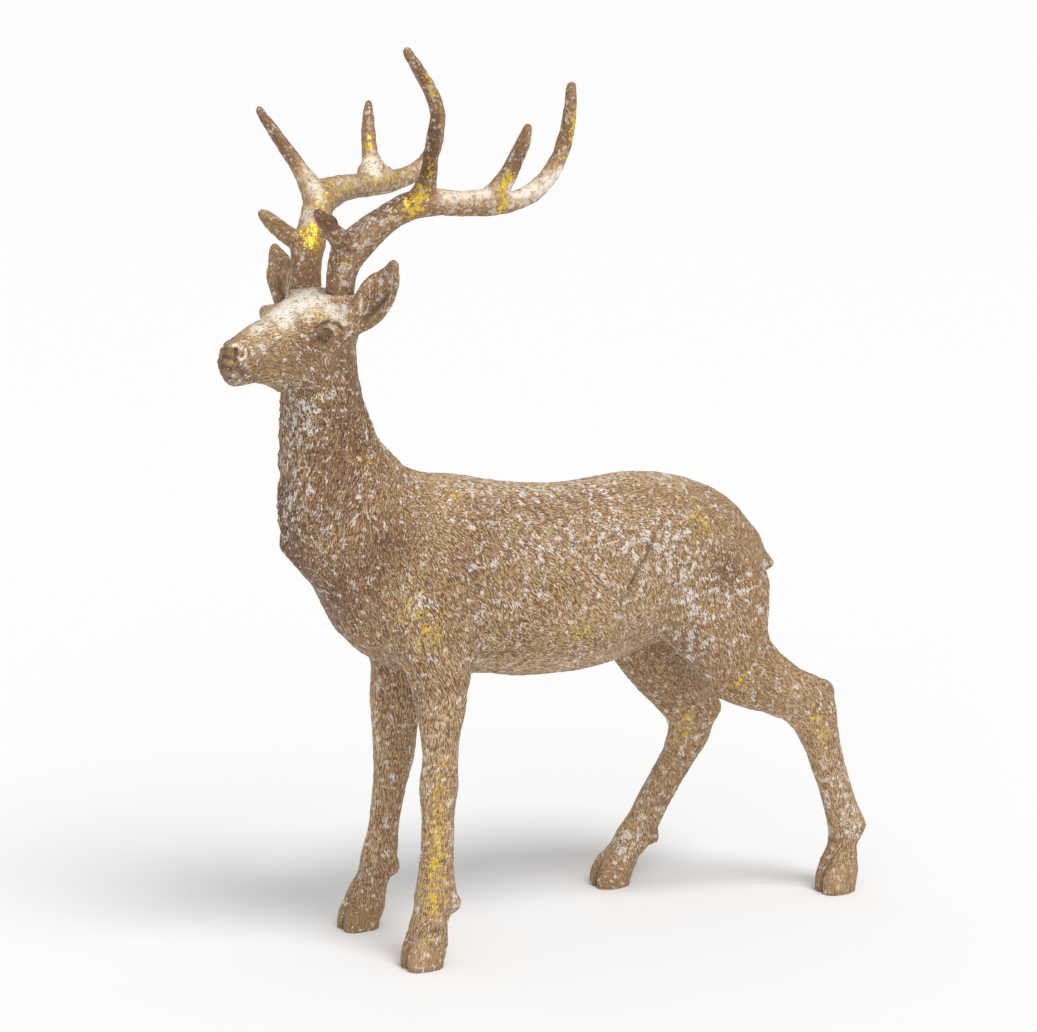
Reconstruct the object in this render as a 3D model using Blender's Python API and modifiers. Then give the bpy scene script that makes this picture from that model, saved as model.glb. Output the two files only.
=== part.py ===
"""A standing stag figurine cast in resin: the body in one casting, and two antlers glued on.

Metres, +Z up. The stag faces -Y, its left side is +X, and it stands on the soles of its four hooves
at Z = 0, with the origin under the middle of its box. The figure is a free form: its stations are
written in millimetres of a figure DRAWN_HEIGHT high, and FIGURE_HEIGHT sets the real one.
"""

import math

import bmesh
import bpy
import numpy as np
from mathutils import Matrix

# Driving sizes, in metres
FIGURE_HEIGHT = 0.452
ANTLER_SEAM = 0.0003

# The stations are written for a figure this high, in millimetres
DRAWN_HEIGHT = 452.0
MM = FIGURE_HEIGHT / DRAWN_HEIGHT

# The antlers' flat seats, in millimetres: how far they lie above the middle of the skull,
# how wide each one is trimmed, and how far the skull's stumps are cast above them
SEAT_RISE = 19.0
SEAT_RADIUS = 10.5
STUMP_OVERLAP = 6.0

# Where the head turns on the neck, and how far it turns to the stag's left
HEAD_PIVOT = (2.0, -130.0)
HEAD_TURN = math.radians(15.0)

# Surface sizes of the casting
BODY_VOXEL = 1.5 * MM
ANTLER_VOXEL = 0.9 * MM
BODY_TRIANGLES = 7300
ANTLER_TRIANGLES = 1250

# Heights, in millimetres, between which the trunk's joints are softened
TRUNK_FROM = (118, 150)
TRUNK_TO = (262, 292)

# The ruff's tufts: rows round the front of the neck, in millimetres and degrees
RUFF_ROWS = 5
RUFF_BOTTOM = 223
RUFF_STEP = 15
RUFF_LIFT = 1.4
RUFF_ANGLE = 26
RUFF_RADII = (29, 28)
RUFF_MIDDLE = -131
RUFF_TAPER = 0.18
RUFF_REACH = (8, 3.8, 7)

RING_SIDES = 40
RING_STEP = 2.0


def along(stations):
    """Cubic Hermite curve through the stations, read about every RING_STEP millimetres."""
    given = np.asarray(stations, float)
    chord = np.r_[0.0, np.cumsum(np.linalg.norm(np.diff(given[:, :3], axis=0), axis=1))]
    slope = np.gradient(given, chord, axis=0)
    places = np.linspace(0.0, chord[-1], max(8, int(chord[-1] / RING_STEP)))
    i = np.clip(np.searchsorted(chord, places, side="right") - 1, 0, len(given) - 2)
    span = (chord[i + 1] - chord[i])[:, None]
    t = (places - chord[i])[:, None] / span
    return (
        (2 * t**3 - 3 * t**2 + 1) * given[i]
        + (t**3 - 2 * t**2 + t) * span * slope[i]
        + (3 * t**2 - 2 * t**3) * given[i + 1]
        + (t**3 - t**2) * span * slope[i + 1]
    )


def loft(stations, across=(1, 0, 0), egg=0.0, cup=0.0):
    """Vertices and faces of a closed limb. A station is x, y, z, half depth, half width.

    Each ring stands square to the path: half width lies along `across` and half depth square to it.
    egg widens one end of the ring, and cup bends the ring into a trough.
    """
    path = along(stations)
    centre, depth, width = path[:, :3], path[:, 3:4], path[:, 4:5]
    tangent = np.gradient(centre, axis=0)
    tangent /= np.linalg.norm(tangent, axis=1, keepdims=True)
    side = np.asarray(across, float) - tangent * (tangent @ np.asarray(across, float))[:, None]
    side /= np.linalg.norm(side, axis=1, keepdims=True)
    front = np.cross(side, tangent)
    angle = np.linspace(0, 2 * np.pi, RING_SIDES, endpoint=False)[None, :]
    cosine, sine = np.cos(angle), np.sin(angle)
    forward = depth * cosine + cup * width * sine**2
    sideways = width * sine * (1 + egg * cosine)
    rings = (
        centre[:, None, :]
        + front[:, None, :] * forward[:, :, None]
        + side[:, None, :] * sideways[:, :, None]
    )
    count = len(rings)
    ends = np.stack([
        rings[0].mean(0) - tangent[0] * depth[0] * 0.5,
        rings[-1].mean(0) + tangent[-1] * depth[-1] * 0.5,
    ])
    points = np.vstack([rings.reshape(-1, 3), ends])
    ring, step = np.meshgrid(np.arange(count - 1), np.arange(RING_SIDES), indexing="ij")
    after = (step + 1) % RING_SIDES
    a, b = ring * RING_SIDES + step, ring * RING_SIDES + after
    walls = np.stack([a, b, b + RING_SIDES, a + RING_SIDES], -1).reshape(-1, 4).tolist()
    step = np.arange(RING_SIDES)
    after = (step + 1) % RING_SIDES
    first, last = count * RING_SIDES, count * RING_SIDES + 1
    top = (count - 1) * RING_SIDES
    caps = [[first, int(j), int(i)] for i, j in zip(step, after)]
    caps += [[last, int(i), int(j)] for i, j in zip(top + step, top + after)]
    return points, walls + caps


def in_head(u, left, z):
    """A point of the head, given ahead of the neck's top, to its left and above ground."""
    c, s = math.cos(HEAD_TURN), math.sin(HEAD_TURN)
    return (HEAD_PIVOT[0] + u * s + left * c, HEAD_PIVOT[1] - u * c + left * s, z)


def head_stations(rows, base=0.0):
    """The head's rows as stations; base is the height that the rows' own heights start from."""
    return [(*in_head(u, left, base + z), depth, width) for u, left, z, depth, width in rows]


HEAD_ACROSS = (math.cos(HEAD_TURN), math.sin(HEAD_TURN), 0.0)
HEAD_AHEAD = (math.sin(HEAD_TURN), -math.cos(HEAD_TURN), 0.0)

# The ears' upper edges lean back
EAR_ACROSS = (-0.2 * HEAD_AHEAD[0], -0.2 * HEAD_AHEAD[1], 1.0)


def ball(centre, radii, facing=HEAD_TURN):
    """An ellipsoid, turned with the head unless told otherwise: radii aside, ahead and up."""
    made = bmesh.new()
    bmesh.ops.create_uvsphere(made, u_segments=24, v_segments=16, radius=1.0)
    place = (
        Matrix.Translation(centre)
        @ Matrix.Rotation(facing, 4, "Z")
        @ Matrix.Diagonal((*radii, 1.0))
    )
    made.transform(place)
    points = np.array([v.co[:] for v in made.verts])
    faces = [[v.index for v in f.verts] for f in made.faces]
    made.free()
    return points, faces


# Torso, neck and tail: x, y, z, half depth, half width
TORSO = [
    (0, -138, 220, 9, 8),
    (0, -132, 218, 17, 16),
    (0, -120, 210, 33, 27),
    (0, -103, 201.5, 46, 34),
    (0, -80, 193.5, 51.5, 37.5),
    (0, -50, 187.5, 51, 38),
    (0, -20, 183.5, 49.5, 38.5),
    (0, 10, 183.5, 49.5, 39),
    (0, 35, 187, 47.5, 38),
    (0, 60, 189.5, 43.5, 36.5),
    (0, 82, 188, 35.5, 33),
    (0, 98, 183, 26.5, 27),
    (0, 109, 179.5, 20, 20),
    (0, 117, 176, 11, 11),
]
NECK = [
    (0, -111, 198, 28, 28),
    (0, -119.5, 219, 36.5, 29),
    (0, -126.5, 236, 34.5, 26.5),
    (0, -131, 250, 29.5, 23.5),
    (0.5, -134.5, 265, 24, 20),
    (1, -136.5, 281, 21.5, 18),
    (2, -138, 297, 19, 16.5),
    (3, -137, 312, 16.5, 14.5),
    (3, -134.5, 324, 14.5, 13),
]
TAIL = [
    (0, 93, 206, 5, 7),
    (0, 107, 199, 5, 7.5),
    (0, 118, 188, 4.5, 6.5),
    (0, 125.5, 178, 3.8, 4.5),
]

# Legs, from inside the shoulder or hip to below the sole: x, y, z, half depth, half width
FRONT_LEFT = [
    (15, -92, 209, 25, 15),
    (22, -91.5, 189, 27, 16),
    (26.5, -89.5, 169, 25, 16),
    (28.5, -88.5, 153, 19, 14),
    (29, -88, 140, 15.3, 12),
    (30, -88, 129, 13, 10.5),
    (31, -89, 118, 10.5, 9),
    (32, -89.5, 105, 9.3, 8),
    (33, -91, 93, 10.3, 8.4),
    (34, -92, 78, 8.8, 7.4),
    (35, -93, 60, 8.8, 7.4),
    (35, -94, 47, 9.3, 7.9),
    (35, -94.5, 36, 11, 9.2),
    (35, -97, 26, 9.5, 8.5),
    (35, -99.5, 17, 9.9, 9),
]
FRONT_RIGHT = [
    (-15, -89, 206, 25, 15),
    (-23, -88, 181, 27, 16),
    (-26, -84, 156, 20, 15.5),
    (-28, -82.5, 138, 15.5, 12.5),
    (-29, -83, 121, 14, 11.5),
    (-30, -83.5, 105, 12.2, 10),
    (-31, -83.5, 92, 11.2, 9.2),
    (-32, -85, 79, 9.4, 7.9),
    (-33, -87, 65, 8.6, 7.2),
    (-34, -88.5, 52, 8.4, 7),
    (-35, -90.5, 38, 10, 8.2),
    (-36, -95, 25, 9.6, 8.2),
    (-36, -99.5, 16, 10, 8.8),
]
REAR_LEFT = [
    (15, 60, 206, 25, 16),
    (22, 70, 182, 32, 17.5),
    (27, 78, 159, 32, 17.5),
    (31, 87, 141, 24, 15),
    (33, 97.5, 127, 19, 13),
    (34, 110, 118.5, 16.5, 11),
    (35, 122, 113, 15, 9.5),
    (35, 132, 104, 15, 9),
    (35, 138, 89, 11.5, 8.5),
    (35, 143.5, 73, 9.8, 7.7),
    (35, 147.5, 62, 9.4, 7.5),
    (35, 152.5, 48, 9.4, 7.5),
    (35, 156.5, 35, 10.2, 8.3),
    (35, 154.5, 25, 8.2, 7.5),
    (35, 153, 17, 9.5, 8.6),
]
REAR_RIGHT = [
    (-15, 56, 206, 25, 16),
    (-22, 61, 178, 33, 17.5),
    (-26, 67, 152, 29, 17),
    (-28, 72, 132, 22.5, 14),
    (-29, 79, 119, 18.5, 12.5),
    (-31, 89, 107, 16, 11),
    (-32, 98.5, 95, 15.5, 10),
    (-33, 100, 81, 12.3, 9),
    (-33, 93, 68, 10, 8),
    (-33, 85, 57, 9.6, 7.7),
    (-33, 77, 45, 9.6, 7.7),
    (-34, 71, 35, 10, 8.2),
    (-34, 65, 26, 10, 8.4),
    (-34, 58, 18.5, 9.3, 8.3),
]

# Each hoof is two toes: x and y of its middle on the ground, and where the pastern meets it
HOOVES = [
    ((35, -102), (35, -96.5, 23)),
    ((-36, -102.5), (-36, -94.5, 22)),
    ((35, 150.5), (35, 154.5, 23)),
    ((-34, 49.5), (-34, 60, 21)),
]
TOE_DEPTH, TOE_WIDTH, TOE_SPREAD = 10.3, 5.7, 4.0

# A toe is thinner than TOE_DEPTH at its top and waist, the waist lies at a share of the way
# down from the pastern, and its foot is rows of height, less depth and less width
TOE_TOP, TOE_WAIST, TOE_WAIST_SHARE = 2.8, 0.5, 0.55
TOE_ROWS = [(5.0, 0.0, 0.0), (-2.0, 0.8, 0.4), (-7.0, 2.0, 1.0)]

# The dewclaws come in pairs: the middle of each pair, half their distance and their radii
DEWCLAWS = [(35, -85.5, 32), (-34, -84.5, 32), (35, 163, 36), (-33, 74, 25)]
DEWCLAW_SPREAD = 4.0
DEWCLAW_RADII = (3.4, 3.6, 5.0)

# Points of hock that stand out behind the hind legs: centre and radii
HOCKS = [((35, 138, 112), (8, 8, 8)), ((-31.5, 110, 96), (7.5, 8, 8.5))]

# The withers, where the neck meets the back: centre and radii
WITHERS = ((0, -93, 236), (15, 17, 12.5))

# Head: ahead, left, z, half height, half width
HEAD = [
    (-6, 0, 323, 12, 11),
    (2, 0, 321.5, 18.5, 16),
    (12, 0, 320, 20.5, 17),
    (24, 0, 315.5, 21.5, 16),
    (36, 0, 313, 19, 13.5),
    (46, 0, 312.3, 15.3, 11.5),
    (54, 0, 311.5, 12.8, 10),
    (60, 0, 310, 11.8, 9.2),
    (65, 0, 309.5, 10.8, 8.3),
    (68, 0, 310.5, 7, 6),
]
EAR = [
    (11.5, 15, 320.5, 6, 7),
    (8, 21, 325.5, 5, 7.5),
    (4, 28.5, 332, 4, 10),
    (1, 35.5, 340, 3, 11),
    (-0.5, 42, 348.5, 2.4, 7.8),
    (1, 46.5, 355.5, 1.7, 2.8),
]

# The seats' height follows the middle of the skull, the third of the head's stations.
# The stumps and the antlers' stations start from it.
SEAT = HEAD[2][2] + SEAT_RISE

# Forms laid on the head, each as a place and radii aside, ahead and up
NOSE = ((63, 0, 315.5), (7.8, 6.5, 6.5))
BROW = ((24, 12.8, 326.5), (4.4, 12, 7))
CHEEK = ((20, 8.5, 309), (6.5, 17, 13))

# The stumps that carry the antlers: foot inside the skull, and ahead and left at the seat
STUMP_FOOT = (8, 11, 324, 8.5, 8.5)
STUMP_TOP = (7.5, 12, 7.5, 7.5)

# Dents in the skin of the head: place, reach ahead, aside and up, and depth
SOCKET = ((21, 17, 319), (6, 6, 4.5), 3)
EYEBALL = ((21, 16, 319), (3, 6, 2.6), -3)
NOSTRIL = ((65, 6.5, 314.5), (2.2, 3, 2.6), 1.6)
MOUTH = [(67, 3, 304.5), (64, 6, 304.5), (60, 8, 304.5), (56, 9, 305)]
MOUTH_CUT = ((3, 3, 1.6), 0.8)
EAR_HOLLOW = [(8, 27, 329), (6, 33, 336), (4, 39, 343)]
EAR_CUT = ((5, 5, 5.5), 0.9)

# Antlers, in the head's frame: ahead, left, height above the seat, half depth, half width
LEFT_BEAM = [
    (8, 11, -7, 7, 7),
    (7.5, 12, 1.5, 7, 7),
    (7, 14, 12.5, 7.6, 7.6),
    (3, 16.5, 21.5, 8.5, 8.5),
    (-2, 21, 28.5, 8.1, 8.1),
    (-10, 26, 35.5, 6.9, 6.9),
    (-19, 31, 41, 6.9, 6.9),
    (-31, 37, 43, 6.6, 6.6),
    (-47, 41, 41.5, 6.1, 6.1),
    (-58, 44, 41, 6.1, 6.1),
    (-72, 47, 41, 5, 5),
    (-86, 51, 46.5, 4.8, 4.8),
    (-97, 54, 58.5, 4.3, 4.3),
    (-102.5, 56, 73.5, 3.8, 3.8),
    (-104, 57, 86.5, 3.3, 3.3),
    (-105, 57, 98, 2.4, 2.4),
]
LEFT_BROW = [
    (-1, 18, 18, 7, 7),
    (5, 17, 22, 6.3, 6.3),
    (11, 18, 26, 5.2, 5.2),
    (19, 19.5, 31.5, 4.4, 4.4),
    (25.5, 21, 37, 3.6, 3.6),
    (30, 22, 41.5, 2.2, 2.2),
]
LEFT_SECOND = [
    (-26, 31, 40, 7.5, 7.5),
    (-26, 35, 47, 6, 6),
    (-25, 39.5, 54.5, 4.5, 4.5),
    (-22.5, 43.5, 62, 3.9, 3.9),
    (-19, 49, 69.5, 3.7, 3.7),
    (-14, 56, 78.5, 3.3, 3.3),
    (-9.5, 62, 88, 2.2, 2.2),
]
LEFT_THIRD = [
    (-60, 42, 39, 7, 7),
    (-65, 44.5, 45.5, 5.8, 5.8),
    (-69, 48, 53, 4.6, 4.6),
    (-71.5, 51, 61, 4.1, 4.1),
    (-74, 54.5, 70, 3.6, 3.6),
    (-74, 58.5, 79, 2.2, 2.2),
]
RIGHT_BEAM = [
    (8, -11, -7, 7, 7),
    (7.5, -12, 1.5, 7, 7),
    (6.5, -14, 12.5, 7.6, 7.6),
    (2, -16.5, 22, 8, 8),
    (-5, -21, 31.5, 7.6, 7.6),
    (-14, -27, 40, 7.9, 7.9),
    (-33, -35, 45, 7, 7),
    (-48, -39, 45.5, 6.1, 6.1),
    (-64, -43, 45.5, 6.2, 6.2),
    (-82, -47, 46.5, 5.3, 5.3),
    (-97, -50, 49, 4.8, 4.8),
    (-110, -53, 54.5, 4.4, 4.4),
    (-119, -56, 65.5, 4.1, 4.1),
    (-122, -58, 78.5, 4, 4),
    (-117, -59, 91.5, 3.8, 3.8),
    (-109.5, -59, 101, 3.4, 3.4),
    (-102, -58, 112, 2.4, 2.4),
]
RIGHT_BROW = [
    (-1, -17, 16, 7, 7),
    (4, -17, 19.5, 6, 6),
    (10, -18, 24, 5, 5),
    (18, -19.5, 29.5, 4.5, 4.5),
    (24.5, -21, 35, 3.6, 3.6),
    (28.5, -22, 38.5, 2.2, 2.2),
]
RIGHT_SECOND = [
    (-13, -26, 37, 7.5, 7.5),
    (-13, -31, 44.5, 6, 6),
    (-13.3, -37, 51, 4.7, 4.7),
    (-12.5, -43, 58.5, 4, 4),
    (-10.5, -49, 66, 3.5, 3.5),
    (-8.5, -55, 74, 3.1, 3.1),
    (-6, -62, 84, 2.1, 2.1),
]
RIGHT_THIRD = [
    (-60, -41, 44, 7, 7),
    (-64, -44, 50.5, 5.8, 5.8),
    (-66, -47.5, 57, 4.7, 4.7),
    (-68, -51, 64, 4, 4),
    (-70.5, -54.5, 72.5, 3.6, 3.6),
    (-73, -57, 81, 2.8, 2.8),
    (-74, -58, 86.5, 1.9, 1.9),
]


def mirrored(rows):
    """The same stations on the other side of the head."""
    return [(u, -left, z, depth, width) for u, left, z, depth, width in rows]


def joined(name, shapes, collection):
    """One object that holds every shape, scaled from millimetres to metres."""
    points = np.vstack([p for p, _ in shapes]) * MM
    starts = np.cumsum([0] + [len(p) for p, _ in shapes])
    faces = [[i + int(start) for i in face] for start, (_, fs) in zip(starts, shapes) for face in fs]
    mesh = bpy.data.meshes.new(name)
    mesh.from_pydata(points.tolist(), [], faces)
    mesh.update()
    made = bpy.data.objects.new(name, mesh)
    collection.objects.link(made)
    return made


def settled(obj):
    """The object with its modifiers turned into its mesh."""
    graph = bpy.context.evaluated_depsgraph_get()
    mesh = bpy.data.meshes.new_from_object(obj.evaluated_get(graph))
    obj.modifiers.clear()
    obj.data = mesh
    mesh.name = obj.name
    return obj


def cast_as_one(obj, voxel, smoothing):
    """Fuses the overlapping shapes into one skin and softens it."""
    remesh = obj.modifiers.new("one_skin", "REMESH")
    remesh.mode = "VOXEL"
    remesh.voxel_size = voxel
    soft = obj.modifiers.new("soften", "SMOOTH")
    soft.factor = 0.5
    soft.iterations = smoothing
    settled(obj)


def thin_to(obj, triangles):
    """Thins the skin to about so many triangles, most of them where it curves."""
    thin = obj.modifiers.new("thin", "DECIMATE")
    thin.ratio = triangles / (2.0 * len(obj.data.polygons))
    settled(obj)


def eased(value, low, high):
    """0 below low, 1 above high, and a smooth step between."""
    t = np.clip((value - low) / (high - low), 0.0, 1.0)
    return t * t * (3 - 2 * t)


def blend_trunk(obj):
    """Softens the joints of neck, shoulders and haunches, and leaves head and lower legs sharp."""
    height = np.array([v.co.z for v in obj.data.vertices]) / MM
    amount = eased(height, *TRUNK_FROM) * (1 - eased(height, *TRUNK_TO))
    group = obj.vertex_groups.new(name="trunk")
    for index in np.flatnonzero(amount > 0.01):
        group.add([int(index)], float(amount[index]), "REPLACE")
    soft = obj.modifiers.new("blend", "SMOOTH")
    soft.factor = 0.5
    soft.iterations = 80
    soft.vertex_group = group.name
    settled(obj)
    obj.vertex_groups.clear()


def press(obj, marks):
    """Pushes soft dents into the skin: each mark is centre, reach along head, side and up, and depth.

    A negative depth raises the skin instead.
    """
    count = len(obj.data.vertices)
    points, normals = np.empty(count * 3), np.empty(count * 3)
    obj.data.vertices.foreach_get("co", points)
    obj.data.vertices.foreach_get("normal", normals)
    points, normals = points.reshape(-1, 3) / MM, normals.reshape(-1, 3)
    moved = np.zeros(count)
    axes = np.array([HEAD_AHEAD, HEAD_ACROSS, (0, 0, 1)])
    for centre, reach, depth in marks:
        away = ((points - centre) @ axes.T) / reach
        moved -= depth * np.exp(-(away**2).sum(1))
    points += normals * moved[:, None]
    obj.data.vertices.foreach_set("co", (points * MM).ravel())
    obj.data.update()


def cut_below(obj, point, normal):
    """Cuts the object flat at a plane, keeps the side that the normal points to and closes the cut."""
    made = bmesh.new()
    made.from_mesh(obj.data)
    cut = bmesh.ops.bisect_plane(
        made,
        geom=made.verts[:] + made.edges[:] + made.faces[:],
        dist=1e-7,
        plane_co=point,
        plane_no=normal,
        clear_inner=True,
    )
    rim = [e for e in cut["geom_cut"] if isinstance(e, bmesh.types.BMEdge)]
    bmesh.ops.holes_fill(made, edges=rim, sides=0)
    bmesh.ops.triangulate(made, faces=made.faces[:])
    bmesh.ops.recalc_face_normals(made, faces=made.faces[:])
    made.to_mesh(obj.data)
    made.free()


def pedicle_cutter(side, collection):
    """A cylinder that trims the antler's seat on the skull flat."""
    radius = SEAT_RADIUS * MM
    made = bmesh.new()
    bmesh.ops.create_cone(
        made, cap_ends=True, segments=32, radius1=radius, radius2=radius, depth=2 * radius
    )
    x, y, _ = in_head(STUMP_TOP[0], STUMP_TOP[1] * side, SEAT)
    middle = SEAT * MM - ANTLER_SEAM / 2 + radius
    bmesh.ops.translate(made, verts=made.verts[:], vec=(x * MM, y * MM, middle))
    mesh = bpy.data.meshes.new("pedicle_cutter")
    made.to_mesh(mesh)
    made.free()
    cutter = bpy.data.objects.new("pedicle_cutter", mesh)
    cutter.hide_render = True
    cutter.display_type = "WIRE"
    collection.objects.link(cutter)
    return cutter


def stand_on_origin(pieces):
    """Puts the origin under the middle of the pieces' common box."""
    points = np.array([v.co[:] for piece in pieces for v in piece.data.vertices])
    low, high = points.min(0), points.max(0)
    shift = Matrix.Translation((-(low[0] + high[0]) / 2, -(low[1] + high[1]) / 2, -low[2]))
    for piece in pieces:
        piece.data.transform(shift)


def resin(name, colour, roughness, metallic):
    made = bpy.data.materials.new(name)
    made.use_nodes = True
    shader = made.node_tree.nodes["Principled BSDF"]
    shader.inputs["Base Color"].default_value = (*colour, 1.0)
    shader.inputs["Roughness"].default_value = roughness
    shader.inputs["Metallic"].default_value = metallic
    made.diffuse_color = (*colour, 1.0)
    return made


def hoof(sole, pastern):
    """Two toes side by side, from the pastern to below the ground."""
    x, y, z = pastern
    share = TOE_WAIST_SHARE
    toes = []
    for side in (-1, 1):
        toe_x = sole[0] + TOE_SPREAD * side
        rows = [
            (x + TOE_SPREAD * side * 0.6, y, z, TOE_DEPTH - TOE_TOP, TOE_WIDTH),
            (toe_x, y + (sole[1] - y) * share, z * share, TOE_DEPTH - TOE_WAIST, TOE_WIDTH),
        ]
        for height, less_deep, less_wide in TOE_ROWS:
            rows.append((toe_x, sole[1], height, TOE_DEPTH - less_deep, TOE_WIDTH - less_wide))
        toes.append(loft(rows))
    return toes


def on_side(place, side):
    """A place of the head given for its left side, on either side."""
    ahead, left, height = place
    return in_head(ahead, left * side, height)


def head():
    """Skull and muzzle with their brows, cheeks and ears, and the stumps that carry the antlers."""
    shapes = [loft(head_stations(HEAD), across=HEAD_ACROSS, egg=-0.12)]
    shapes.append(ball(in_head(*NOSE[0]), NOSE[1]))
    for side in (1, -1):
        ear = EAR if side > 0 else mirrored(EAR)
        shapes.append(loft(head_stations(ear), across=EAR_ACROSS, cup=-0.3 * side))
        ahead, left, *radii = STUMP_TOP
        stump = [STUMP_FOOT, (ahead, left, SEAT + STUMP_OVERLAP, *radii)]
        stump = stump if side > 0 else mirrored(stump)
        shapes.append(loft(head_stations(stump), across=HEAD_ACROSS))
        shapes += [ball(on_side(place, side), radii) for place, radii in (BROW, CHEEK)]
    return shapes


def face_marks():
    """Eye sockets with their balls, nostrils, mouth and ear hollows, as dents in the skin."""
    marks = []
    for side in (1, -1):
        for place, reach, depth in (SOCKET, EYEBALL, NOSTRIL):
            marks.append((on_side(place, side), reach, depth))
        marks += [(on_side(place, side), *MOUTH_CUT) for place in MOUTH]
        marks += [(on_side(place, side), *EAR_CUT) for place in EAR_HOLLOW]
    return marks


def ruff_marks():
    """Staggered tufts on the front and sides of the neck, as raised marks."""
    marks = []
    for row in range(RUFF_ROWS):
        rise = row * RUFF_STEP
        for k in range(-3, 4):
            angle = math.radians(RUFF_ANGLE) * (k + 0.5 * (row % 2))
            x = (RUFF_RADII[0] - RUFF_TAPER * rise) * math.sin(angle)
            y = RUFF_MIDDLE - RUFF_RADII[1] * math.cos(angle)
            marks.append(((x, y, RUFF_BOTTOM + rise), RUFF_REACH, -RUFF_LIFT))
    return marks


def build_body(parts, cutters):
    """The casting: torso, neck, head, ears, legs and tail fused into one skin."""
    shapes = [loft(rows) for rows in (TORSO, NECK, TAIL)]
    shapes += [loft(rows) for rows in (FRONT_LEFT, FRONT_RIGHT, REAR_LEFT, REAR_RIGHT)]
    for sole, pastern in HOOVES:
        shapes += hoof(sole, pastern)
    for x, y, z in DEWCLAWS:
        for step in (-DEWCLAW_SPREAD, DEWCLAW_SPREAD):
            shapes.append(ball((x + step, y, z), DEWCLAW_RADII, facing=0.0))
    shapes += [ball(centre, radii, facing=0.0) for centre, radii in (*HOCKS, WITHERS)]
    shapes += head()
    body = joined("body", shapes, parts)
    cast_as_one(body, BODY_VOXEL, 5)
    blend_trunk(body)
    press(body, face_marks() + ruff_marks())
    thin_to(body, BODY_TRIANGLES)
    cut_below(body, (0, 0, 0), (0, 0, 1))
    for side in (1, -1):
        trim = body.modifiers.new("antler_seat", "BOOLEAN")
        trim.operation = "DIFFERENCE"
        trim.object = pedicle_cutter(side, cutters)
    settled(body)
    return body


def build_antler(name, branches, parts):
    """One antler: beam and tines fused, and its foot cut flat at the seat."""
    shapes = [loft(head_stations(rows, SEAT), across=HEAD_ACROSS) for rows in branches]
    antler = joined(name, shapes, parts)
    cast_as_one(antler, ANTLER_VOXEL, 6)
    thin_to(antler, ANTLER_TRIANGLES)
    cut_below(antler, (0, 0, SEAT * MM + ANTLER_SEAM / 2), (0, 0, 1))
    return antler


def main():
    for obj in list(bpy.data.objects):
        bpy.data.objects.remove(obj, do_unlink=True)
    parts = bpy.data.collections.new("deer_figurine")
    cutters = bpy.data.collections.new("cutters")
    for collection in (parts, cutters):
        bpy.context.scene.collection.children.link(collection)
    pieces = [
        build_body(parts, cutters),
        build_antler("antler_left", [LEFT_BEAM, LEFT_BROW, LEFT_SECOND, LEFT_THIRD], parts),
        build_antler("antler_right", [RIGHT_BEAM, RIGHT_BROW, RIGHT_SECOND, RIGHT_THIRD], parts),
    ]
    stand_on_origin(pieces)
    colours = [(0.36, 0.22, 0.125), (0.33, 0.20, 0.12), (0.33, 0.20, 0.12)]
    for piece, colour in zip(pieces, colours):
        piece.data.materials.clear()
        piece.data.materials.append(resin(piece.name + "_resin", colour, 0.55, 0.25))
        piece.data.shade_smooth()


main()
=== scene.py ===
import itertools
import math

import bmesh
import bpy
import numpy as np
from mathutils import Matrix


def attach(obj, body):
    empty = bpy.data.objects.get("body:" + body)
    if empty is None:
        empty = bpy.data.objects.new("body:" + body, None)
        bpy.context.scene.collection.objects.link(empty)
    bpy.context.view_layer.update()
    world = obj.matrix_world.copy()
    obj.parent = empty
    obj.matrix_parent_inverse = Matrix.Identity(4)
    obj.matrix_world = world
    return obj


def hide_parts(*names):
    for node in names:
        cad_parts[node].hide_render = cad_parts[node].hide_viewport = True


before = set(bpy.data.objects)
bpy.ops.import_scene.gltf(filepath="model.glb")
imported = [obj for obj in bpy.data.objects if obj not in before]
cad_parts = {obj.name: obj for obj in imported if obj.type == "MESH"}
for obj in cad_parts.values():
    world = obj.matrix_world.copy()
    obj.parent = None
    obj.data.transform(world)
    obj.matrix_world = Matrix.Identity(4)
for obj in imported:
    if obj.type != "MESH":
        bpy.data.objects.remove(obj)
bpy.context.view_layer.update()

# ---- The casting
# The whole stag but its antlers: one polyresin casting. The mould gives it the carved coat. It is
# painted coppery brown, dry-brushed with champagne and strewn with glitter on the wet paint.

MM = 0.001

# The cubes that its skin is made on, in millimetres, and the triangles that are left of it
BODY_VOXEL = 0.62
BODY_TRIANGLES = 196000

# The stag's own axes, in millimetres: the middle plane, and where the head turns on the neck
MIDDLE_X = 14.5
HEAD_PIVOT = (16.5, -114.1)
HEAD_TURN = math.radians(15.0)


def gather(mesh, name, width=3, source="vertices", kind=np.float32):
    """A property of the mesh's vertices or edges as an array of rows."""
    values = np.empty(len(getattr(mesh, source)) * width, kind)
    getattr(mesh, source).foreach_get(name, values)
    return values.reshape(-1, width)


def settle(obj):
    """The object's modifiers turned into its mesh."""
    graph = bpy.context.evaluated_depsgraph_get()
    mesh = bpy.data.meshes.new_from_object(obj.evaluated_get(graph))
    obj.modifiers.clear()
    obj.data = mesh
    mesh.name = obj.name
    return obj


def evened(values, pairs, rounds):
    """Values of the points, each moved halfway to the mean of its neighbours, several times."""
    ends = np.concatenate([pairs[:, 0], pairs[:, 1]])
    others = np.concatenate([pairs[:, 1], pairs[:, 0]])
    count = np.maximum(np.bincount(ends, minlength=len(values)), 1)
    for _ in range(rounds):
        mean = np.stack([np.bincount(ends, column[others], len(values)) for column in values.T], 1)
        values = 0.5 * values + 0.5 * mean / count[:, None]
    return values


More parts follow.
